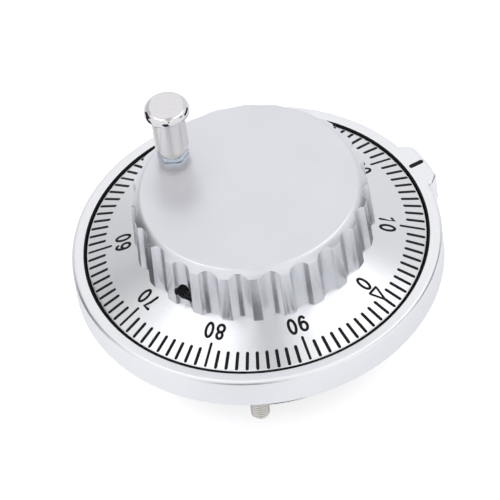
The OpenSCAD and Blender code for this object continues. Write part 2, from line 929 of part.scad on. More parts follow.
module handle_nut() {
    color("lightsteelblue")
        translate([handle_x, handle_y, nut_z])
            difference() {
                intersection() {
                    cylinder(h = nut_t, r = nut_edge_r, $fn = 6);
                    union() {
                        rod(nut_edge_r + cut, nut_chamfer, nut_t - nut_chamfer);
                        translate([0, 0, nut_t - nut_chamfer])
                            cylinder(h = nut_chamfer, r1 = nut_edge_r + 0.05, r2 = nut_face_r);
                        cylinder(h = nut_chamfer, r1 = nut_face_r, r2 = nut_edge_r + 0.05);
                    }
                }
                rod(spindle_r + fixed_gap, -cut, nut_t + cut);
            }
}

module handle_washer() {
    color("silver")
        translate([handle_x, handle_y, 0])
            ring(spindle_r + 1, spindle_r + fixed_gap, washer_z, washer_z + handle_washer_t);
}

module grip_sleeve() {
    color("silver")
        translate([handle_x, handle_y, 0])
            difference() {
                rod(grip_r, grip_z, sleeve_top);
                rod(spindle_r + turning_gap, grip_z - cut, sleeve_top);
                rod(head_r + head_gap, head_z - head_gap, sleeve_top + cut);
            }
}

// Ring of round wire, radius r, just inside the cap's edge
module rim_wire(r, z) {
    translate([0, 0, z])
        rotate_extrude()
            translate([cap_r - r, 0])
                circle(r = r, $fn = 48);
}

module grip_cap() {
    color("silver")
        translate([handle_x, handle_y, 0]) {
            intersection() {
                union() {
                    rod(cap_r - crown_r, sleeve_top - cut, grip_top);
                    rod(cap_r, sleeve_top - cut, crown_z);
                    rim_wire(crown_r, crown_z);
                }
                union() {
                    rod(cap_r - lip_r, sleeve_top, grip_top + cut);
                    rod(cap_r, lip_z, grip_top + cut);
                    rim_wire(lip_r, lip_z);
                }
            }
            rod(head_r + head_gap - fixed_gap, sleeve_top - plug_len, sleeve_top);
        }
}

bezel_flange();
mounting_studs();
rear_housing();
rear_cover();
cover_screws();
bearing_outer_rings();
bearing_shields();
hub_circlip();
detent_magnets();
detent_pole_shoes();
circuit_board();
board_screws();
sensor_module();
light_emitter();
photo_detector();
line_driver_chip();
board_capacitors();
terminal_block();
terminal_clamps();
terminal_screws();
terminal_pins();
bearing_balls();
bearing_cages();
knob();
dial();
dial_screws();
set_screw();
shaft();
bearing_inner_rings();
bearing_spacer();
shim_washer();
shaft_circlip();
detent_wheel();
code_disc();
code_disc_hub();
disc_clamp_plate();
disc_clamp_screw();
handle_spindle();
handle_nut();
handle_washer();
grip_sleeve();
grip_cap();
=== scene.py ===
import json
import bpy
import bmesh
import numpy as np
from mathutils.geometry import delaunay_2d_cdt
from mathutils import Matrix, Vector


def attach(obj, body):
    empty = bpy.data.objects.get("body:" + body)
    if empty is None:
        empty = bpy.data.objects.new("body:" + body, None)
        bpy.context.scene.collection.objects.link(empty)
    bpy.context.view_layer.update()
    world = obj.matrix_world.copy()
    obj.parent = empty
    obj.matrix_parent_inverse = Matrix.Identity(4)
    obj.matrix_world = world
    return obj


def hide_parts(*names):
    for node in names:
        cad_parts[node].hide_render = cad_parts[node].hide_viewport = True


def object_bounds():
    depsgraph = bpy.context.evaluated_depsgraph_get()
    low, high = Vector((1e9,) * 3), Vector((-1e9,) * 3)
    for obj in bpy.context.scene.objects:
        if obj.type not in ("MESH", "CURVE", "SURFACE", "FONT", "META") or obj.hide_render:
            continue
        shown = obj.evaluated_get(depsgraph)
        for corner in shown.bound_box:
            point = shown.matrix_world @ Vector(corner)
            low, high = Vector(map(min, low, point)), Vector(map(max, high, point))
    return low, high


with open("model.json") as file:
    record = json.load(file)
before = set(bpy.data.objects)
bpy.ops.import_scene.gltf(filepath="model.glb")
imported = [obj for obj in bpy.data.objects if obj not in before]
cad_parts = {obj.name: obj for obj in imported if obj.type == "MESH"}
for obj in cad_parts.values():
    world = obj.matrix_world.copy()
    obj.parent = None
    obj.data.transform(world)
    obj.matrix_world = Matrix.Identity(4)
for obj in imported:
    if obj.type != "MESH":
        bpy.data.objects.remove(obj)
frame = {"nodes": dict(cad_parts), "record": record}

cad_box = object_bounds()

# Camera: a long lens from the front right, well above the dial, rolled a little. Its
# place is in metres.
def in_scene(name, data):
    """An object for a mesh, a light or a lens, put into the scene."""
    made = bpy.data.objects.new(name, data)
    bpy.context.scene.collection.objects.link(made)
    return made


lens = bpy.data.cameras.new("camera")
lens.lens = 456.467
lens.sensor_width = 36
lens.clip_end = 10
camera = in_scene("camera", lens)
camera.location = (0.839232, -0.360042, 1.016081)
camera.rotation_euler = np.radians((41.7857, 5.52595, 60.73189))
bpy.context.scene.camera = camera
bpy.context.scene.view_settings.view_transform = "Standard"


# Studio: a white room with a pale floor under the terminal block, two soft lamps overhead,
# and white, grey and black boards that only metal mirrors.
def colour(hex_code):
    """Linear RGBA of an sRGB hex colour."""
    srgb = np.array([int(hex_code[i:i + 2], 16) for i in (1, 3, 5)]) / 255
    linear = np.where(srgb <= 0.04045, srgb / 12.92, ((srgb + 0.055) / 1.055) ** 2.4)
    return (*linear, 1)


def add(tree, kind, inputs=None, **settings):
    """Adds a shader node; inputs maps a socket to its value or to the socket that feeds it.
    A Mix node mixes by 0 the colours at 6 and 7, given at output 2, or the numbers at 2 and 3."""
    made = tree.nodes.new("ShaderNode" + kind)
    for name, value in settings.items():
        setattr(made, name, value)
    for name, value in (inputs or {}).items():
        if isinstance(value, bpy.types.NodeSocket):
            tree.links.new(value, made.inputs[name])
        else:
            made.inputs[name].default_value = value
    return made


def new_material(name):
    """An empty node material and its tree."""
    made = bpy.data.materials.new(name)
    made.use_nodes = True
    made.node_tree.nodes.clear()
    return made, made.node_tree


def glow_board(name, corners, level):
    """A board through four corners that glows evenly, a trace blue, and that only metal sees."""
    mesh = bpy.data.meshes.new(name)
    mesh.from_pydata(np.array(corners) / 1000, [], [(0, 1, 2, 3)])
    board = in_scene(name, mesh)
    paint, tree = new_material(name)
    glow = add(tree, "Emission", {"Color": (level, level, level * 1.02, 1), "Strength": 1})
    add(tree, "OutputMaterial", {"Surface": glow.outputs[0]})
    mesh.materials.append(paint)
    board.visible_camera = False
    board.visible_diffuse = False
    board.visible_shadow = False
    board.visible_transmission = False


def aim(azimuth, height=0):
    """The way out at an azimuth and height in degrees, and the level way across it."""
    a, h = np.radians((azimuth, height))
    out = np.array([np.cos(a) * np.cos(h), np.sin(a) * np.cos(h), np.sin(h)])
    return out, np.array([-np.sin(a), np.cos(a), 0])


def card(name, azimuth, height, distance, size, level):
    """A board of a width and height at a distance that faces the dial."""
    out, side = aim(azimuth, height)
    up = np.cross(out, side)
    x, y = size[0] / 2, size[1] / 2
    corners = [out * distance + i * x * side + j * y * up
               for i, j in ((-1, -1), (1, -1), (1, 1), (-1, 1))]
    glow_board(name, corners, level)


# The floor lies a hair below the terminal block's face, so that they share no plane.
lowest = cad_box[0][2] * 1000
floor_z, mat_z = lowest - 0.05, lowest + 0.5


def mat(name, azimuth, spread, level):
    """A board just above the floor between two radii: a wedge with its tip at the knob's
    wall, which opens outwards by spread degrees."""
    near, far, tip = 85, 700, 25
    out, side = aim(azimuth)
    widening = np.tan(np.radians(spread / 2))
    corners = [out * r + i * (r - tip) * widening * side + (0, 0, mat_z)
               for r, i in ((near, -1), (far, -1), (far, 1), (near, 1))]
    glow_board(name, corners, level)


card("grey_card_back_left", 192, 34, 900, (560, 600), 0.68)
card("grey_card_back", 157, 11, 900, (520, 240), 0.88)
card("grey_card_back_right", 122, 32, 900, (560, 640), 0.84)
card("black_card_left", 226, 12, 700, (410, 640), 0.04)
card("black_card_right", 80, 6, 700, (480, 560), 0.04)
card("grey_card_right", 50, 42, 700, (170, 240), 0.25)
card("black_card_front", 337, 46, 700, (70, 260), 0.1)
card("black_card_low_front", 322, 4, 700, (300, 480), 0.02)
mat("grey_mat_front", 321, 34, 0.06)
mat("black_mat_left", 238, 34, 0.02)
card("white_card_front", 342, 66, 900, (500, 180), 1.25)
card("grey_card_over", 158, 88, 800, (130, 900), 0.62)
card("white_card_left", 217, 70, 900, (340, 340), 1.7)
card("white_card_right", 97, 66, 900, (340, 420), 1.7)


def lamp(name, azimuth, height, distance, size, power):
    """A square soft lamp at a distance, aimed at the dial."""
    light = bpy.data.lights.new(name, "AREA")
    light.size = size / 1000
    light.energy = power
    made = in_scene(name, light)
    made.location = aim(azimuth, height)[0] * distance / 1000
    made.rotation_euler = np.radians((90 - height, 0, azimuth + 90))
    made.visible_camera = False
    made.visible_glossy = False


lamp("lamp_left", 215, 60, 800, 500, 1.2)
lamp("lamp_front", 330, 75, 800, 300, 0.5)

# The room looks white, and lights the dial a little less than that.
world = bpy.data.worlds.new("white_room")
bpy.context.scene.world = world
world.use_nodes = True
world.node_tree.nodes.clear()
tree = world.node_tree
ray = add(tree, "LightPath").outputs
mirrored = add(tree, "Math", {0: ray["Is Camera Ray"], 1: ray["Is Glossy Ray"]}, operation="MAXIMUM")
seen = add(tree, "Math", {0: mirrored.outputs[0], 1: ray["Is Transmission Ray"]}, operation="MAXIMUM")
dim_walls = add(tree, "Background", {"Color": colour("#F4F5F8"), "Strength": 0.75})
white_walls = add(tree, "Background", {"Color": (1, 1, 1, 1), "Strength": 1})
room = add(tree, "MixShader", {"Fac": seen.outputs[0], 1: dim_walls.outputs[0],
                               2: white_walls.outputs[0]})
add(tree, "OutputWorld", {"Surface": room.outputs[0]})

floor_half = 3000
floor_corners = [(x * floor_half, y * floor_half, floor_z) for x, y in ((-1, -1), (1, -1), (1, 1), (-1, 1))]
floor_mesh = bpy.data.meshes.new("floor")
floor_mesh.from_pydata(np.array(floor_corners) / 1000, [], [(0, 1, 2, 3)])
floor = in_scene("floor", floor_mesh)
# White laminate: it scatters light and, where nothing shades it, reads as the white room,
# to which its own glow lifts it. In a mirror it glows less.
seen_glow, mirrored_glow = 0.7, 0.19
laminate, tree = new_material("white_laminate")
ray = add(tree, "LightPath").outputs
board = add(tree, "BsdfDiffuse", {"Color": colour("#F3F3F4")})
in_mirrors = add(tree, "Math", {0: ray["Is Glossy Ray"], 1: mirrored_glow}, operation="MULTIPLY")
lift = add(tree, "Math", {0: ray["Is Camera Ray"], 1: seen_glow, 2: in_mirrors.outputs[0]},
           operation="MULTIPLY_ADD")
glow = add(tree, "Emission", {"Color": (1, 1, 1, 1), "Strength": lift.outputs[0]})
both = add(tree, "AddShader", {0: board.outputs[0], 1: glow.outputs[0]})
add(tree, "OutputMaterial", {"Surface": both.outputs[0]})
floor_mesh.materials.append(laminate)


# Bezel flange: a zinc die casting with a tab, closed below the dial by a web. It is turned
# at the rim and satin chrome plated, and its index mark is engraved and filled with paint.
def surface(name, points, poles=(), loop=False):
    """Mesh over a grid points[row, column]: neighbours are joined by quads, columns close
    into a ring, loop closes the rows too, and each pole (row, point) closes an end."""
    index = np.arange(points.shape[0] * points.shape[1]).reshape(points.shape[:2])
    rows = np.vstack([index, index[:1]]) if loop else index
    right = np.roll(rows, -1, axis=1)
    quads = np.stack([rows[:-1], right[:-1], right[1:], rows[1:]], axis=-1).reshape(-1, 4)
    places = points.reshape(-1, 3)
    fans = []
    for row, point in poles:
        ring = index[row]
        after = np.roll(ring, -1)
        places = np.vstack([places, point])
        tip = np.full(len(ring), len(places) - 1)
        fans.append(np.stack([ring, after, tip] if row else [after, ring, tip], axis=-1))
    fans = np.vstack(fans) if fans else np.zeros((0, 3), int)
    parts = [quads[:, [0, 1, 2]], quads[:, [0, 2, 3]], fans]
    corner = places[np.vstack(parts)]
    volume = np.einsum("ij,ij->", corner[:, 0], np.cross(corner[:, 1], corner[:, 2]))
    step = 1 if volume > 0 else -1
    mesh = bpy.data.meshes.new(name)
    mesh.from_pydata(places / 1000, [], [*quads[:, ::step].tolist(), *fans[:, ::step].tolist()])
    mesh.shade_smooth()
    return in_scene(name, mesh)


def rounded(corners, steps=4, pad=0.05, closed=False):
    """Points along a line whose corners (x, y, radius) are arcs tangent to both sides;
    a point pad before and after each arc holds the flat faces flat."""
    corners = np.array(corners, float)
    path = []
    count = len(corners)
    for i, (x, y, radius) in enumerate(corners):
        here = np.array((x, y))
        if radius == 0 or (not closed and i in (0, count - 1)):
            path.append(here)
            continue
        back = corners[i - 1, :2] - here
        ahead = corners[(i + 1) % count, :2] - here
        reach = min(np.hypot(*back), np.hypot(*ahead))
        back /= np.hypot(*back)
        ahead /= np.hypot(*ahead)
        half_turn = (np.pi - np.arccos(np.clip(back @ ahead, -1, 1))) / 2
        run = radius * np.tan(half_turn)
        middle = here + (back + ahead) / np.hypot(*(back + ahead)) * radius / np.cos(half_turn)
        first, last = here + back * run - middle, here + ahead * run - middle
        if pad and run + pad < reach:
            path.append(here + back * (run + pad))
        for t in np.linspace(0, 1, steps + 1):
            spoke = first * np.sin((1 - t) * 2 * half_turn) + last * np.sin(t * 2 * half_turn)
            path.append(middle + spoke / np.sin(2 * half_turn))
        if pad and run + pad < reach:
            path.append(here + ahead * (run + pad))
    return np.array(path)


def carve(piece, cutter, finish=None):
    """Takes the cutter's volume out of the piece, then deletes the cutter. The faces that it
    cuts take its finish, where it has one."""
    if finish:
        cutter.data.materials.append(finish)
    cut = piece.modifiers.new("cut", "BOOLEAN")
    cut.material_mode = "TRANSFER" if finish else "INDEX"
    cut.operation = "DIFFERENCE"
    cut.solver = "EXACT"
    cut.object = cutter
    seen_cut = piece.evaluated_get(bpy.context.evaluated_depsgraph_get())
    cut_mesh = bpy.data.meshes.new_from_object(seen_cut)
    piece.modifiers.clear()
    old = piece.data
    name = old.name
    piece.data = cut_mesh
    bpy.data.meshes.remove(old)
    cut_mesh.name = name
    bpy.data.objects.remove(cutter)
    cut_mesh.shade_smooth()
    cut_mesh.set_sharp_from_angle(angle=np.radians(35))


def place(piece, body, material, slot, *nodes):
    """Gives a piece its material, the body it moves with, and the CAD nodes it stands for."""
    if piece.data.materials:
        piece.data.materials[0] = material
    else:
        piece.data.materials.append(material)
    if nodes:
        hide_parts(*nodes)
    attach(piece, body)


def metal(name, hex_code, rough, spread, grain, depth, streak=0):
    """A bare or plated metal: its roughness wanders by spread over areas 12 mm wide, and a
    grain of a size in millimetres dents it by depth. streak is how strongly fine marks round
    the axis draw out what it mirrors across them."""
    made, tree = new_material(name)
    where = add(tree, "TexCoord").outputs["Object"]
    wide = add(tree, "TexNoise", {"Vector": where, "Scale": 1000 / 12, "Detail": 3})
    fine = add(tree, "TexNoise", {"Vector": where, "Scale": 1000 / grain, "Detail": 2})
    roughness = add(tree, "MapRange", {"Value": wide.outputs[0], "From Min": 0.3, "From Max": 0.7,
                                       "To Min": rough - spread, "To Max": rough + spread})
    plain = np.array(colour(hex_code))
    duller = plain * (0.94, 0.94, 0.94, 1)
    tint = add(tree, "Mix", {0: fine.outputs[0], 6: tuple(plain), 7: tuple(duller)}, data_type="RGBA")
    dents = add(tree, "Bump", {"Height": fine.outputs[0], "Strength": 0.35, "Distance": depth / 1000})
    shader = add(tree, "BsdfPrincipled", {"Base Color": tint.outputs[2], "Metallic": 1,
                                          "Roughness": roughness.outputs[0], "Normal": dents.outputs[0]})
    if streak:
        # A quarter of a turn from the tangent makes the marks run round the axis.
        round_axis = add(tree, "Tangent", direction_type="RADIAL", axis="Z")
        tree.links.new(round_axis.outputs[0], shader.inputs["Tangent"])
        shader.inputs["Anisotropic"].default_value = streak
        shader.inputs["Anisotropic Rotation"].default_value = 0.25
    add(tree, "OutputMaterial", {"Surface": shader.outputs[0]})
    return made


# In plan the flange is a ring, the tab's arc and a flank on each side of it: a hollow corner
# at the ring, the foot of the slope, and the tab's own corner.
flange_r, tab_r, tab_half, root_x = 39.99, 42.28, 4.9, 6.75
ring_turn = np.radians(np.arange(101, 440, 1.0))
tab_turn = np.radians(np.linspace(84.5, 95.5, 12))
ring_line = np.stack([np.cos(ring_turn), np.sin(ring_turn)], axis=1) * flange_r
tab_line = np.stack([np.cos(tab_turn), np.sin(tab_turn)], axis=1) * tab_r
root_y = np.sqrt(flange_r ** 2 - root_x ** 2)
right_flank = [(root_x, root_y, 0.33), (root_x, 40.07, 0.85), (tab_half, 42.0, 1.3)]
left_flank = [(-x, y, radius) for x, y, radius in right_flank[::-1]]
right_line = rounded([(*ring_line[-1], 0), *right_flank, (*tab_line[0], 0)], pad=0)
left_line = rounded([(*tab_line[-1], 0), *left_flank, (*ring_line[0], 0)], pad=0)
outline = np.vstack([ring_line, right_line[1:-1], tab_line, left_line[1:-1]])
along = np.roll(outline, -1, axis=0) - np.roll(outline, 1, axis=0)
outward = np.stack([along[:, 1], -along[:, 0]], axis=1) / np.hypot(*along.T)[:, None]
spokes = outline / np.hypot(*outline.T)[:, None]

# In section it runs from the hub's skirt over the pad, the flange and the recess's shelf
# to the web and the hub, and back down the bore past the bearings' shoulder.
bearing_bore, shoulder_bore, shoulder_low, shoulder_high = 6.52, 5.6, 2.2, 6
hub_r, hub_low, hub_high = 9.5, -4.6, 11.2
pad_r, pad_z, web_z = 29.5, -0.4, 3.2
recess_r, shelf_r, shelf_z = 37.05, 32.5, 5
bezel_top, bezel_in_r, lip_z = 7.3, 37.4, 7.05
section = rounded([
    (bearing_bore, hub_low, 0), (hub_r, hub_low, 0.3), (hub_r, pad_z, 0), (pad_r, pad_z, 0),
    (pad_r, 0, 0), (flange_r, 0, 0.25), (flange_r, bezel_top, 0.8), (bezel_in_r, bezel_top, 0.12),
    (recess_r, lip_z, 0.1), (recess_r, shelf_z, 0), (shelf_r, shelf_z, 0.2), (shelf_r, web_z, 0),
    (hub_r, web_z, 0), (hub_r, hub_high, 0.3), (bearing_bore, hub_high, 0.2),
    (bearing_bore, shoulder_high, 0), (shoulder_bore, shoulder_high, 0),
    (shoulder_bore, shoulder_low, 0), (bearing_bore, shoulder_low, 0)], steps=6, closed=True)

# Outside this radius the section follows the outline, and inside it plain circles.
round_inside = 38
radius = section[:, :1, None]
plan = np.where(radius > round_inside, outline[None] - outward[None] * (flange_r - radius),
                spokes[None] * radius)
height = np.broadcast_to(section[:, 1:, None], (*plan.shape[:2], 1))
bezel = surface("bezel", np.concatenate([plan, height], axis=-1), loop=True)


def slot_line(inner, outer, width):
    """A closed outline in plan: two half circles joined by straight sides, along +Y."""
    turn = np.linspace(0, np.pi, 10)
    far = np.stack([np.cos(turn) * width / 2, outer - width / 2 + np.sin(turn) * width / 2], axis=1)
    near = np.stack([-np.cos(turn) * width / 2, inner + width / 2 - np.sin(turn) * width / 2], axis=1)
    return np.vstack([far, near])


def prism(name, line, low, high):
    """A closed outline in plan carried from one height to another and closed by two poles."""
    middle = line.mean(axis=0)
    points = np.stack([np.column_stack([line, np.full(len(line), z)]) for z in (low, high)])
    return surface(name, points, [(0, (*middle, low)), (-1, (*middle, high))])


mark_in, mark_out, mark_w, mark_depth = 38.1, 41.55, 1.12, 0.25
mark_floor = bezel_top - mark_depth
carve(bezel, prism("mark_cutter", slot_line(mark_in, mark_out, mark_w), mark_floor, bezel_top + 1))
# Satin chrome: the plating follows a blasted grain, drawn coarser than it is, which softens
# what it mirrors.
satin_chrome = metal("satin_chrome_plate", "#F5F6F9", 0.38, 0.03, 0.35, 0.004)
place(bezel, "stator", satin_chrome, "satin_chrome", "bezel_flange")


# Marking paint: black enamel. A film of it lines the recess around the dial, up to the
# bezel's inner edge, as painted shade for the dark gap there; more is wiped into the index
# mark, a little lower than the metal.
# Enamel: nearly black, with a soft gloss that a fine skin breaks up.
black_enamel_and_painted_shade, tree = new_material("black_marking_enamel")
where = add(tree, "TexCoord").outputs["Object"]
skin = add(tree, "TexNoise", {"Vector": where, "Scale": 1000 / 0.4, "Detail": 2})
tint = add(tree, "Mix", {0: skin.outputs[0], 6: colour("#0A0A0C"), 7: colour("#151417")}, data_type="RGBA")
dents = add(tree, "Bump", {"Height": skin.outputs[0], "Strength": 0.4, "Distance": 0.01 / 1000})
shader = add(tree, "BsdfPrincipled", {"Base Color": tint.outputs[2], "Roughness": 0.5,
                                      "Specular IOR Level": 0.2, "Normal": dents.outputs[0]})
add(tree, "OutputMaterial", {"Surface": shader.outputs[0]})


def lathe(name, corners, centre=(0, 0), columns=144, loop=False, steps=4):
    """A turned piece: the meridian of corners (radius, z, rounding) carried round the axis
    through centre. A meridian that starts or ends on the axis is closed there by a pole."""
    path = rounded(corners, steps, closed=loop)
    poles = []
    if not loop:
        poles = [(0, (*centre, path[0, 1])), (-1, (*centre, path[-1, 1]))]
        path = path[1:-1]
    turn = np.linspace(0, 2 * np.pi, columns, endpoint=False)
    r, z = path[:, :1], path[:, 1:]
    points = np.stack([centre[0] + r * np.cos(turn), centre[1] + r * np.sin(turn), z + 0 * turn], axis=-1)
    return surface(name, points, poles, loop)


# The recess film is painted shade: a black liner put where the gap round the dial only lies in shade.
film_t, film_sunk, film_end_r = 0.03, 0.02, 33
film_r, film_back_r = recess_r - film_t, recess_r + film_sunk
recess_painted_shade = lathe("recess_painted_shade", [
    (film_r, lip_z + 0.005, 0), (bezel_in_r - film_t, bezel_top - 0.002, 0),
    (bezel_in_r - film_sunk, bezel_top - 0.05, 0), (film_back_r, lip_z - film_sunk, 0),
    (film_back_r, shelf_z - 0.01, 0), (film_end_r, shelf_z - 0.01, 0),
    (film_end_r, shelf_z + film_t, 0), (film_r, shelf_z + film_t, 0)], loop=True)
recess_painted_shade.data.set_sharp_from_angle(angle=np.radians(35))
place(recess_painted_shade, "stator", black_enamel_and_painted_shade, "black_plastic")

fit, paint_gap = 0.01, 0.08
index_line = slot_line(mark_in + fit, mark_out - fit, mark_w - 2 * fit)
index_paint = prism("index_paint", index_line, mark_floor, bezel_top - paint_gap)
index_paint.data.set_sharp_from_angle(angle=np.radians(35))
place(index_paint, "stator", black_enamel_and_painted_shade, "black_plastic")


# Mounting studs: M4 by 0.7 steel, zinc plated, with a chamfered tip and a root that is
# pressed into the flange.
def threaded(name, places, outer, depth, pitch, low, high, tip=0):
    """Rods whose radius falls from outer by depth in a V with flat crests and roots that
    climbs one pitch a turn, and is chamfered by tip at the low end. Each gets an attribute,
    0 on the crests and 1 in the roots, that sets the painted shade in its roots."""
    z = np.arange(low, high + pitch / 20, pitch / 10)[:, None]
    turn = np.linspace(0, 2 * np.pi, 40, endpoint=False)
    climb = (z / pitch - turn / (2 * np.pi)) % 1
    steep, crest = 1.25, 0.12
    r = outer - depth * np.clip(np.abs(climb * 2 - 1) * steep - crest, 0, 1)
    if tip:
        r = np.minimum(r, outer - tip + (z - low))
    points = np.stack([r * np.cos(turn), r * np.sin(turn), z + 0 * turn], axis=-1)
    made = []
    for i, (x, y) in enumerate(places):
        rod = points + (x, y, 0)
        piece = surface(f"{name}_{i + 1}", rod, [(0, (x, y, low)), (-1, (x, y, rod[-1, 0, 2]))])
        root = piece.data.attributes.new("root", "FLOAT", "POINT")
        root.data.foreach_set("value", np.append((outer - r).ravel() / depth, (0, 0)))
        made.append(piece)
    return made


# Bright zinc: smooth and white on the crests, and grey in the roots: painted shade in the thread's grooves.
zinc_with_painted_root_shade, tree = new_material("bright_zinc_thread_root_shade")
where = add(tree, "TexCoord").outputs["Object"]
grain = add(tree, "TexNoise", {"Vector": where, "Scale": 1000 / 0.2, "Detail": 2})
root = add(tree, "Attribute", attribute_name="root")
# Painted shade: the roots are mixed to grey by their depth.
tint = add(tree, "Mix", {0: root.outputs["Fac"], 6: colour("#F6F3EE"), 7: colour("#8A847C")},
           data_type="RGBA")
dents = add(tree, "Bump", {"Height": grain.outputs[0], "Strength": 0.35, "Distance": 0.004 / 1000})
shader = add(tree, "BsdfPrincipled", {"Base Color": tint.outputs[2], "Metallic": 1, "Roughness": 0.4,
                                      "Normal": dents.outputs[0]})
add(tree, "OutputMaterial", {"Surface": shader.outputs[0]})

stud_r, stud_depth, stud_pitch, stud_end, stud_start, stud_tip = 2, 0.42, 0.7, -7.4, 0.5, 0.5
stud_turn, stud_orbit = np.radians((90, 210, 330)), 36
stud_places = np.stack([np.cos(stud_turn), np.sin(stud_turn)], axis=1) * stud_orbit
for stud in threaded("stud", stud_places, stud_r, stud_depth, stud_pitch, stud_end, stud_start, stud_tip):
    stud.data.set_sharp_from_angle(angle=np.radians(60))
    place(stud, "stator", zinc_with_painted_root_shade, "zinc_plated_steel", "mounting_studs")


# Dial: a cone turned from aluminium, fine-brushed round its axis and clear anodised. Its
# 100 graduations and ten numbers are engraved, and black enamel fills them.
seat_r, seat_z, dial_r, edge_z = 24.3, 11.464, 36.6, 7.142
fall = (seat_z - edge_z) / (dial_r - seat_r)


def arc(cx, cy, rx, ry, start, end, count=14):
    """Points along an ellipse's arc between two angles in degrees."""
    turn = np.radians(np.linspace(start, end, count))
    return np.stack([cx + rx * np.cos(turn), cy + ry * np.sin(turn)], axis=1)


# Each numeral is a set of cutter paths in a cell 2 * side wide and 2 * top high.
top, side = 1.6, 0.72
numerals = {
    "0": [arc(0, 0, side, top, 0, 360, 33)],
    "1": [np.array([(0.18, -top), (0.18, top), (-0.42, top - 0.62)])],
    "2": [np.vstack([arc(0, top - side, side, side, 165, -25, 12), [(-side, -top), (side, -top)]])],
    "3": [np.vstack([arc(-0.02, 0.82, 0.66, 0.78, 150, -90, 12),
                     arc(-0.02, -0.78, 0.74, 0.82, 70, -150, 11)])],
    "4": [np.array([(0.32, -top), (0.32, top), (-side, -0.72), (side, -0.72)])],
    "5": [np.vstack([[(0.6, top), (-0.5, top), (-0.62, 0.2)], arc(-0.04, -0.6, 0.76, 1.0, 125, -145)])],
    "6": [arc(0, -0.62, side, 0.98, 0, 360, 25), arc(0.02, 0, 0.74, top, 50, 195)],
    "7": [np.array([(-side, top), (side, top), (0.1, 0.1), (-0.2, -top)])],
    "8": [arc(0, 0.84, 0.62, 0.76, 0, 360, 23), arc(0, -0.76, side, 0.84, 0, 360, 25)],
    "9": [arc(0, 0.62, side, 0.98, 0, 360, 25), arc(-0.02, 0, 0.74, top, 230, 375)],
}

# Strokes: cutter paths, each with half its width. A tick ends at tick_out and starts at
# short_in, or at ten_in for a ten. The zero's starts at zero_in, outside an open triangle.
zero_turn, tick_step = 25.2, 3.6
tick_out, short_in, ten_in, zero_in = 36.05, 32.75, 31.25, 33.9
half_tick, half_ten, half_stroke, half_leg = 0.36, 0.3, 0.31, 0.27
triangle_half, triangle_foot, triangle_tip = 1.15, 30.7, 33.8
number_r, digit_step, digit_squeeze = 28.45, 2.45, 0.94
strokes = []
for n in range(100):
    a = np.radians(zero_turn + tick_step * n)
    spoke, across = np.array([np.cos(a), np.sin(a)]), np.array([np.sin(a), -np.cos(a)])
    inner, half_width = (short_in, half_tick) if n % 10 else (ten_in, half_ten)
    if n == 0:
        inner, half_width = zero_in, half_tick
        corners = np.array([(-triangle_half, triangle_foot), (triangle_half, triangle_foot),
                            (0, triangle_tip), (-triangle_half, triangle_foot)])
        legs = [np.linspace(start, end, 11)[:-1] for start, end in zip(corners[:-1], corners[1:])]
        corners = np.vstack([*legs, corners[-1:]])
        strokes.append((corners[:, :1] * across + corners[:, 1:] * spoke, half_leg))
    strokes.append((np.stack([spoke * inner, spoke * tick_out]), half_width))
    if n % 10 == 0:
        text = str(n)
        for k, digit in enumerate(text):
            shift = (k - (len(text) - 1) / 2) * digit_step
            for path in numerals[digit]:
                x, y = path[:, :1] + shift, path[:, 1:] * digit_squeeze + number_r
                strokes.append((x * across + y * spoke, half_stroke))


def stroke_edge(path, offset):
    """Closed outlines at an offset from a path: one round an open path, with round ends, or
    two along a closed one. At a bend the offset follows the mitre, to a small limit."""
    step = np.diff(path, axis=0)
    length = np.hypot(*step.T)[:, None]
    side_way = np.stack([-step[:, 1], step[:, 0]], axis=1) / length
    shut = np.hypot(*(path[0] - path[-1])) < 1e-6
    before = np.roll(side_way, 1, axis=0) if shut else np.vstack([side_way[:1], side_way])
    after = side_way if shut else np.vstack([side_way, side_way[-1:]])
    bend = (after + before) / (1 + np.sum(after * before, axis=1))[:, None]
    mitre_limit = 1.04
    bend *= np.minimum(1, mitre_limit / np.hypot(*bend.T))[:, None]
    if shut:
        return [path[:-1] + bend * offset, path[:-1] - bend * offset]
    ends = []
    for point, way, sign in ((path[-1], side_way[-1], 1), (path[0], side_way[0], -1)):
        turn = np.radians(np.linspace(0, 180, 7)[1:-1])[:, None]
        ahead = np.array([way[1], -way[0]])
        ends.append(point + offset * sign * (way * np.cos(turn) + ahead * np.sin(turn)))
    return [np.vstack([path + bend * offset, ends[0], path[::-1] - bend[::-1] * offset, ends[1]])]


groove, wall = 0.1, 0.02


def groove_share(points):
    """Depth below the surface as a share of the groove's depth, from 0 at its edge to 1
    where the point is a wall's width inside a stroke's edge."""
    share = np.zeros(len(points))
    reach = 4.5
    for path, width in strokes:
        near = np.flatnonzero(np.hypot(*(points - path.mean(axis=0)).T) < reach)
        if not len(near):
            continue
        start, step = path[:-1], np.diff(path, axis=0)
        gap = points[near][:, None] - start[None]
        t = np.clip(np.sum(gap * step, axis=2) / np.sum(step * step, axis=1), 0, 1)
        miss = np.hypot(*np.moveaxis(gap - t[..., None] * step, 2, 0)).min(axis=1)
        share[near] = np.maximum(share[near], np.clip((width - miss) / wall, 0, 1))
    return share


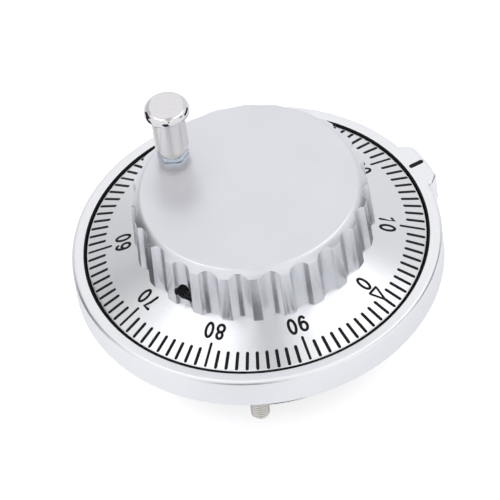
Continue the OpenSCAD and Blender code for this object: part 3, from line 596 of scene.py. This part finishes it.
# The face: triangles between both edges of each groove's wall, the seat and the rim, with
# rings of points between them that keep the cone round.
plan_points, plan_edges = [], []
for path, width in strokes:
    for offset in (width, width - wall):
        for line in stroke_edge(path, offset):
            first = sum(len(p) for p in plan_points)
            plan_points.append(line)
            order = np.arange(len(line))
            plan_edges.append(np.stack([order, np.roll(order, -1)], axis=1) + first)
rim_r = dial_r - 0.08
for r, count in ((seat_r, 300), (25.4, 300), (26.4, 360), (30.6, 360), (rim_r, 500)):
    first = sum(len(p) for p in plan_points)
    stagger = 0.001 * r
    turn = np.linspace(0, 2 * np.pi, count, endpoint=False) + stagger
    plan_points.append(np.stack([np.cos(turn), np.sin(turn)], axis=1) * r)
    if r in (seat_r, rim_r):
        order = np.arange(count)
        plan_edges.append(np.stack([order, np.roll(order, -1)], axis=1) + first)
plan_points, plan_edges = np.vstack(plan_points), np.vstack(plan_edges)
flat, _, triangles, *_ = delaunay_2d_cdt(plan_points.tolist(), plan_edges.tolist(), [], 0, 1e-5)
flat = np.array(flat)
triangles = np.array(triangles)
# Only the triangles between the seat's chords and the rim are kept.
seat_chord_r, slack = seat_r * 0.99996, 1e-3
centre_r = np.hypot(*flat[triangles].mean(axis=1).T)
inside = (centre_r > seat_chord_r) & (centre_r < rim_r)
corner_r = np.hypot(*flat[triangles].transpose(2, 0, 1))
inside &= (corner_r.max(axis=1) < rim_r + slack) & (corner_r.min(axis=1) > seat_r - slack)
triangles = triangles[inside]
used, triangles = np.unique(triangles, return_inverse=True)
triangles = triangles.reshape(-1, 3)
flat = flat[used]
a, b, c = (flat[triangles[:, k]] for k in range(3))
turned = np.cross(np.c_[b - a, np.zeros(len(a))], np.c_[c - a, np.zeros(len(a))])[:, 2] < 0
triangles[turned] = triangles[turned][:, ::-1]
r = np.hypot(*flat.T)
share = groove_share(flat)
cone_z = seat_z - (r - seat_r) * fall
face = np.column_stack([flat, cone_z - groove * share])


def rim_order(radius):
    """Numbers of the face's points on the circle of that radius, in order round it."""
    ring = np.flatnonzero(np.abs(r - radius) < 2 * slack)
    return ring[np.argsort(np.arctan2(flat[ring, 1], flat[ring, 0]))]


def wall_rows(ring, section, first):
    """Rows of points below an edge of the face, each at a (radius, z) of the section and
    below the edge, and the quads that join them."""
    turn = np.arctan2(flat[ring, 1], flat[ring, 0])
    rows = np.stack([np.column_stack([np.cos(turn) * x, np.sin(turn) * x,
                                      np.minimum(z, face[ring, 2] - 0.001)]) for x, z in section])
    index = np.vstack([ring, first + np.arange(rows.shape[0] * rows.shape[1]).reshape(rows.shape[:2])])
    ahead = np.roll(index, -1, axis=1)
    quads = np.stack([index[:-1], index[1:], ahead[1:], ahead[:-1]], axis=-1)
    return rows.reshape(-1, 3), quads.reshape(-1, 4)


# The rim and the underside are carried in to the bore, and the flat seat closes the ring.
skirt_z, under_r, under_z = 5.84, 26.45, 9.404
bore_r, bore_edge, bore_low, bore_top = 13, 0.2, 9.6, 11.3
outer_section = [(dial_r - 0.02, edge_z - 0.03), (dial_r, edge_z - 0.1), (dial_r, skirt_z + 0.05),
                 (dial_r - 0.1, skirt_z), (under_r, under_z), (bore_r + bore_edge, under_z),
                 (bore_r, bore_low), (bore_r, bore_top)]
outer_rows, outer_quads = wall_rows(rim_order(rim_r), outer_section, len(face))
seat_section = [(bore_r + bore_edge, seat_z - 0.0011)]
inner_rows, inner_quads = wall_rows(rim_order(seat_r), seat_section, len(face) + len(outer_rows))
dial_mesh = bpy.data.meshes.new("dial")
dial_mesh.from_pydata(np.vstack([face, outer_rows, inner_rows]) / 1000, [],
                      [*triangles.tolist(), *outer_quads.tolist(), *inner_quads[:, ::-1].tolist()])
dial_mesh.shade_smooth()
dial_piece = in_scene("dial_face", dial_mesh)
work = bmesh.new()
work.from_mesh(dial_mesh)
bmesh.ops.bridge_loops(work, edges=[e for e in work.edges if e.is_boundary])
bmesh.ops.recalc_face_normals(work, faces=work.faces)
work.to_mesh(dial_mesh)
work.free()
dial_mesh.set_sharp_from_angle(angle=np.radians(28))
# Brushed aluminium: marks run round the axis, so lamps draw light fans across the cone.
dial_metal = metal("brushed_anodised_aluminium", "#ECEDF0", 0.26, 0.02, 0.25, 0.002, streak=0.8)
place(dial_piece, "wheel", dial_metal, "machined_aluminium", "dial")

# The enamel is a film over each groove's floor, its top a little below the face.
enamel_sunk, enamel_t = 0.03, 0.04
floors = triangles[(share[triangles] > enamel_sunk / groove).all(axis=1)]
keep, floors = np.unique(floors, return_inverse=True)
floors = floors.reshape(-1, 3)
paint_mesh = bpy.data.meshes.new("dial_enamel")
enamel_points = np.column_stack([flat[keep], cone_z[keep] - enamel_sunk])
paint_mesh.from_pydata(enamel_points / 1000, [], floors.tolist())
paint_mesh.shade_smooth()
dial_enamel = in_scene("dial_enamel", paint_mesh)
film = dial_enamel.modifiers.new("film", "SOLIDIFY")
film.thickness = enamel_t / 1000
film.offset = -1
place(dial_enamel, "wheel", black_enamel_and_painted_shade, "black_plastic")


# Knob: a slightly tapered body turned from aluminium, with 24 flutes along the taper, a
# round shoulder and edges just broken, clear anodised. It is hollow around the boss that
# holds the shaft, and a threaded hole in one flute takes the set screw.
knob_r, floor_r, flute_r, flutes, first_flute = 25.85, 24.8, 3, 24, 340.4
knob_top, neck_z, flat_r, taper, break_r, shoulder_r = 24.7, 23.28, 23.35, 0.52, 0.3, 8.2
neck_r = knob_r - taper
chord = np.array([neck_r - flat_r, neck_z - knob_top])
chord_way = chord / np.hypot(*chord)
chord_gap = np.sqrt(shoulder_r ** 2 - np.sum(chord ** 2) / 4)
shoulder_at = (flat_r, knob_top) + chord / 2 + np.array([chord_way[1], -chord_way[0]]) * chord_gap


def knob_outline(shrink):
    """Points round the knob and the ways its wall faces there, a distance further in than at
    its foot: a land, a broken edge and a flute, mirrored about the flute and repeated."""
    land_r, centre_d = knob_r - shrink, floor_r - shrink + flute_r
    edge_d, reach = land_r - break_r, flute_r + break_r
    edge_turn = np.arccos((edge_d ** 2 + centre_d ** 2 - reach ** 2) / (2 * edge_d * centre_d))
    edge_at = edge_d * np.array([np.cos(edge_turn), np.sin(edge_turn)])
    toward = np.arctan2(-edge_at[1], centre_d - edge_at[0])
    lands = np.linspace(np.pi / flutes, edge_turn, 4)
    breaks = np.linspace(edge_turn, toward, 7)[1:]
    scoops = np.linspace(toward + np.pi, np.pi, 9)[1:]
    land, broken, scoop = (np.stack([np.cos(t), np.sin(t)], axis=1) for t in (lands, breaks, scoops))
    half_line = np.vstack([land * land_r, edge_at + broken * break_r, (centre_d, 0) + scoop * flute_r])
    half_way = np.vstack([land, broken, -scoop])
    turn = np.radians(first_flute + np.arange(flutes) * 360 / flutes)[:, None]
    made = []
    for half in (half_line, half_way):
        x, y = np.vstack([half[:-1] * (1, -1), half[::-1][:-1]]).T
        made.append(np.stack([x * np.cos(turn) - y * np.sin(turn),
                              x * np.sin(turn) + y * np.cos(turn)], axis=-1).reshape(-1, 2))
    return made


def shoulder(radius):
    """Height of the round shoulder at a radius and how steeply it falls there: a circle's
    arc of radius shoulder_r, from the flat top to the neck."""
    out = radius - shoulder_at[0]
    rise = np.sqrt(shoulder_r ** 2 - out ** 2)
    return shoulder_at[1] + rise, out / rise


# From the middle of the top out to the brow, the shoulder to the crests and flutes, the
# round rim between shoulder and wall, the wall, and back inside the hollow to the bore.
neck_line, neck_way = knob_outline(taper)
knob_out = neck_line / np.hypot(*neck_line.T)[:, None]
brow_r, rim = 23.52, 0.2
rows = []
for r, z in ((8, knob_top), (16, knob_top), (22.9, knob_top), (23.22, knob_top),
             (23.3, knob_top - 0.007), (23.37, knob_top - 0.028), (23.45, knob_top - 0.065),
             (brow_r, shoulder(brow_r)[0])):
    rows.append(np.column_stack([knob_out * r, np.full(len(knob_out), z)]))
facing = np.sum(neck_way * knob_out, axis=1)
middle = neck_line - neck_way * rim
touch = neck_line
# Where the rim meets the shoulder depends on how steep the shoulder is there: four rounds
# settle it.
for _ in range(4):
    touch_z, touch_fall = shoulder(np.hypot(*touch.T))
    lean_from = np.arctan(touch_fall * facing)
    touch = middle + neck_way * rim * np.sin(lean_from)[:, None]
middle_z = touch_z - rim * np.cos(lean_from)
shoulder_end = np.hypot(*touch.T) - 0.03
for share_out in (0.2, 0.4, 0.6, 0.8, 1):
    along_r = brow_r + (shoulder_end - brow_r) * share_out
    rows.append(np.column_stack([knob_out * along_r[:, None], shoulder(along_r)[0]]))
for share_down in np.linspace(0, 1, 6):
    lean = lean_from * (1 - share_down) + np.pi / 2 * share_down
    rows.append(np.column_stack([middle + neck_way * (rim * np.sin(lean))[:, None],
                                 middle_z + rim * np.cos(lean)]))
seat_gap, hollow_r, roof_z = 0.005, 19.5, 20.7
boss_r, boss_z, shaft_bore, shaft_end = 8, 12.004, 3.03, 20.4
for share_down in (0.03, 0.5, 1):
    line = knob_outline(taper * (1 - share_down))[0]
    foot_z = seat_z - (np.hypot(*line.T) - seat_r) * fall + seat_gap
    rows.append(np.column_stack([line, middle_z * (1 - share_down) + foot_z * share_down]))
for r, z in ((seat_r, seat_z + seat_gap), (hollow_r, seat_z + seat_gap), (hollow_r, roof_z),
             (boss_r, roof_z), (boss_r, boss_z), (shaft_bore, boss_z), (shaft_bore, shaft_end)):
    rows.append(np.column_stack([knob_out * r, np.full(len(knob_out), z)]))
knob_piece = surface("knob_body", np.stack(rows), [(0, (0, 0, knob_top)), (-1, (0, 0, shaft_end))])

# Clear anodised aluminium: satin where the surface faces up, brighter on the fluted wall,
# where fine marks round the axis draw what it mirrors out along the flutes.
anodised_aluminium, tree = new_material("clear_anodised_aluminium")
where = add(tree, "TexCoord").outputs["Object"]
facing_up = add(tree, "SeparateXYZ", {0: add(tree, "NewGeometry").outputs["Normal"]})
grain = add(tree, "TexNoise", {"Vector": where, "Scale": 1000 / 0.5, "Detail": 3})
cloud = add(tree, "TexNoise", {"Vector": where, "Scale": 1000 / 9, "Detail": 4})
on_top = add(tree, "MapRange", {"Value": facing_up.outputs[2], "From Min": 0.56, "From Max": 0.68})
satin = add(tree, "MapRange", {"Value": cloud.outputs[0], "To Min": 0.28, "To Max": 0.36})
bright = add(tree, "MapRange", {"Value": grain.outputs[0], "To Min": 0.24, "To Max": 0.28})
streak = add(tree, "MapRange", {"Value": on_top.outputs[0], "To Min": 0.87, "To Max": 0})
round_axis = add(tree, "Tangent", direction_type="RADIAL", axis="Z")
roughness = add(tree, "Mix", {0: on_top.outputs[0], 2: bright.outputs[0], 3: satin.outputs[0]})
tint = add(tree, "Mix", {0: cloud.outputs[0], 6: colour("#E4E5EA"), 7: colour("#DFE0E6")},
           data_type="RGBA")
dents = add(tree, "Bump", {"Height": grain.outputs[0], "Strength": 0.3, "Distance": 0.004 / 1000})
shader = add(tree, "BsdfPrincipled", {"Base Color": tint.outputs[2], "Metallic": 1,
                                      "Roughness": roughness.outputs[0],
                                      "Anisotropic": streak.outputs[0], "Anisotropic Rotation": 0.25,
                                      "Tangent": round_axis.outputs[0], "Normal": dents.outputs[0]})
add(tree, "OutputMaterial", {"Surface": shader.outputs[0]})
knob_piece.data.materials.append(anodised_aluminium)


def across_axis(cutter, turn, z):
    """Lays a cutter made along Z down along the radius at an angle, at a height: its Z
    becomes the way out, its X the way across and its Y the way up."""
    spots = np.empty(len(cutter.data.vertices) * 3)
    cutter.data.vertices.foreach_get("co", spots)
    spots = spots.reshape(-1, 3)
    out = spots[:, 2]
    laid = np.stack([out * np.cos(turn) - spots[:, 0] * np.sin(turn),
                     out * np.sin(turn) + spots[:, 0] * np.cos(turn), spots[:, 1] + z / 1000], axis=-1)
    cutter.data.vertices.foreach_set("co", laid.ravel())
    cutter.data.update()
    return cutter


# The M5 thread hole's cut faces take a dark finish: painted shade for the dark inside of the hole.
screw_turn, screw_z, screw_in, screw_out = np.radians(295.4), 14.8, 18.8, 30
screw_r, screw_depth, screw_pitch = 2.42, 0.36, 0.8
hole_painted_shade = metal("dark_hole_painted_shade", "#37363A", 0.34, 0.05, 0.3, 0.004)
hole = threaded("hole_cutter", [(0, 0)], screw_r, screw_depth, screw_pitch, screw_in, screw_out)[0]
carve(knob_piece, across_axis(hole, screw_turn, screw_z), hole_painted_shade)
knob_piece.data.set_sharp_from_angle(angle=np.radians(38))
place(knob_piece, "wheel", anodised_aluminium, "machined_aluminium", "knob")


# Crank handle: a steel lock nut on the spindle's thread, a thick washer, and a chromed
# steel sleeve with a pressed-in cap that turn together on the spindle.
handle_turn, handle_orbit = np.radians(205.8), 19.8
handle = handle_orbit * np.array([np.cos(handle_turn), np.sin(handle_turn)])
# A hexagon's radius at an angle is half its width over the cosine from the nearest flat's
# middle. Its corners are chamfered outside a round face.
nut_low, nut_high, nut_half, nut_face, nut_bore = knob_top, knob_top + 1.3, 3, 2.82, 2.02
turn = np.radians(np.arange(0, 360, 3.0))
hexagon = nut_half / np.cos((turn % (np.pi / 3)) - np.pi / 6)
chamfer_slope = 0.4375
chamfer = np.maximum(0, hexagon - nut_face) * chamfer_slope
rows = [(nut_bore, nut_low), (nut_face, nut_low), (hexagon, nut_low + chamfer),
        (hexagon, nut_high - chamfer), (nut_face, nut_high), (nut_bore, nut_high)]
points = np.stack([np.column_stack([handle[0] + r * np.cos(turn), handle[1] + r * np.sin(turn),
                                    z + 0 * turn]) for r, z in rows])
nut = surface("lock_nut", points, loop=True)
eased = nut.modifiers.new("edges", "BEVEL")
eased.width = 0.07 / 1000
eased.segments = 2
eased.limit_method = "ANGLE"
eased.angle_limit = np.radians(25)
nut.data.set_sharp_from_angle(angle=np.radians(30))
# Blue passivated zinc: smooth and cold, a little bluer than the studs.
blue_zinc = metal("blue_passivated_zinc_plate", "#DAE2EA", 0.24, 0.04, 0.2, 0.003)
place(nut, "wheel", blue_zinc, "zinc_plated_steel", "handle_nut")

sleeve_bore, sleeve_r, sleeve_low, sleeve_high = 2.06, 3.65, 27.4, 37.35
pocket_r, pocket_low = 3.05, 33.1
sleeve = lathe("sleeve", [
    (sleeve_bore, sleeve_low, 0.1), (sleeve_r, sleeve_low, 0.25), (sleeve_r, sleeve_high, 0.1),
    (pocket_r, sleeve_high, 0), (pocket_r, pocket_low, 0), (sleeve_bore, pocket_low, 0)],
    handle, 96, loop=True)
sleeve.data.set_sharp_from_angle(angle=np.radians(40))
# Chrome over turned steel: the lathe's marks round the sleeve draw what it mirrors out
# along it.
turned_chrome = metal("turned_chrome_plate", "#ECEAEA", 0.24, 0.02, 0.8, 0.001, streak=0.96)
place(sleeve, "grip", turned_chrome, "polished_chrome", "grip_sleeve")

cap_r, cap_high, cap_crown, cap_lip = 4.98, 39.4, 1.41, 0.55
plug_r, plug_low = 3.03, 35.5
cap = lathe("cap", [
    (0, cap_high, 0), (1.5, cap_high, 0), (cap_r, cap_high, cap_crown), (cap_r, sleeve_high, cap_lip),
    (plug_r, sleeve_high + 0.01, 0), (plug_r, plug_low, 0.2), (0, plug_low, 0)], handle, 96, steps=9)
cap.data.set_sharp_from_angle(angle=np.radians(40))
# Bright chrome: a mirror, with only a breath of haze.
bright_chrome = metal("bright_chrome_plate", "#E4E2E4", 0.07, 0.02, 0.8, 0.001)
place(cap, "grip", bright_chrome, "polished_chrome", "grip_cap")


# Rear housing, cover and terminal block: moulded in black glass-filled nylon, their edges
# eased by the mould, and held to the flange by screws from the back.
def eased_copy(node, width):
    """A CAD node's mesh with its doubles merged and its flat faces joined, so that a bevel
    of a width eases only its real edges."""
    piece = in_scene(node + "_piece", frame["nodes"][node].data.copy())
    piece.data.materials.clear()
    work = bmesh.new()
    work.from_mesh(piece.data)
    bmesh.ops.remove_doubles(work, verts=work.verts, dist=0.001 / 1000)
    bmesh.ops.dissolve_limit(work, angle_limit=np.radians(1), verts=work.verts, edges=work.edges)
    work.to_mesh(piece.data)
    work.free()
    piece.data.shade_smooth()
    edges = piece.modifiers.new("edges", "BEVEL")
    edges.width = width / 1000
    edges.segments = 2
    edges.limit_method = "ANGLE"
    edges.angle_limit = np.radians(40)
    piece.data.set_sharp_from_angle(angle=np.radians(40))
    return piece


def moulding(name, hex_code, rough, grain, depth):
    """A moulded or pressed piece: grains of a size in millimetres, such as the mould's
    spark-eroded texture, dent it by depth, over faint clouds 8 mm wide."""
    made, tree = new_material(name)
    where = add(tree, "TexCoord").outputs["Object"]
    cells = add(tree, "TexVoronoi", {"Vector": where, "Scale": 1000 / grain})
    cloud = add(tree, "TexNoise", {"Vector": where, "Scale": 1000 / 8, "Detail": 3})
    plain = np.array(colour(hex_code))
    paler = plain * (1.35, 1.35, 1.35, 1)
    tint = add(tree, "Mix", {0: cloud.outputs[0], 6: tuple(plain), 7: tuple(paler)}, data_type="RGBA")
    spread = 0.06
    gloss = add(tree, "MapRange", {"Value": cloud.outputs[0], "To Min": rough - spread,
                                   "To Max": rough + spread})
    dents = add(tree, "Bump", {"Height": cells.outputs[0], "Strength": 0.3, "Distance": depth / 1000})
    shader = add(tree, "BsdfPrincipled", {"Base Color": tint.outputs[2], "Roughness": gloss.outputs[0],
                                          "Normal": dents.outputs[0]})
    add(tree, "OutputMaterial", {"Surface": shader.outputs[0]})
    return made


# Nylon: dark and matt, with a fine even texture that breaks up its sheen.
black_plastic = moulding("black_glass_filled_nylon", "#1B1B1D", 0.5, 0.35, 0.01)
for node, width in (("rear_housing", 0.15), ("rear_cover", 0.2), ("terminal_block", 0.15)):
    place(eased_copy(node, width), "stator", black_plastic, "black_plastic", node)
# Black oxide: a thin dark skin through which the steel still shines a little.
black_oxide = metal("black_oxide_steel", "#3A3A3D", 0.38, 0.05, 0.3, 0.004)
place(eased_copy("cover_screws", 0.1), "stator", black_oxide, "black_steel", "cover_screws")


# Inner parts: the bearings, shaft, detent, encoder and small hardware, in steel, iron,
# brass, ferrite and plastics. They keep their CAD meshes, and each takes the finish of its
# slot in the record. Metals: smooth where they are ground, coarser where they are milled.
zinc = metal("bright_zinc_plate", "#E2DFD9", 0.26, 0.05, 0.2, 0.004)
ground = metal("ground_bearing_steel", "#C9CBCF", 0.2, 0.04, 0.3, 0.002)
iron = metal("milled_soft_iron", "#8F9298", 0.4, 0.06, 0.5, 0.006)
brass = metal("turned_brass", "#D9B56A", 0.28, 0.04, 0.3, 0.003)
# Sintered pieces: dull, with the grain of the pressed powder.
ferrite = moulding("sintered_ferrite", "#2A2A2C", 0.7, 0.2, 0.01)
ceramic = moulding("sintered_ceramic", "#B79B77", 0.6, 0.2, 0.006)
# Solder mask and cast epoxy: glossy, with a faint unevenness as they set.
mask = moulding("green_solder_mask", "#0F5A33", 0.32, 0.6, 0.004)
epoxy = moulding("clear_cast_epoxy", "#D9D2D2", 0.12, 0.9, 0.002)
dark_epoxy = moulding("dark_cast_epoxy", "#2E2431", 0.2, 0.9, 0.002)
finish_of = {"zinc_plated_steel": zinc, "black_steel": black_oxide, "ground_steel": ground,
             "soft_iron": iron, "ferrite": ferrite, "black_plastic": black_plastic, "brass": brass,
             "circuit_board": mask, "clear_epoxy": epoxy, "dark_epoxy": dark_epoxy,
             "ceramic": ceramic, "satin_chrome": satin_chrome, "machined_aluminium": dial_metal,
             "polished_chrome": bright_chrome}
for part in frame["record"]["subparts"]:
    inner_node = frame["nodes"][part["node"]]
    if not inner_node.hide_render:
        for material_slot in inner_node.material_slots:
            material_slot.material = finish_of[part["material_slot"]]
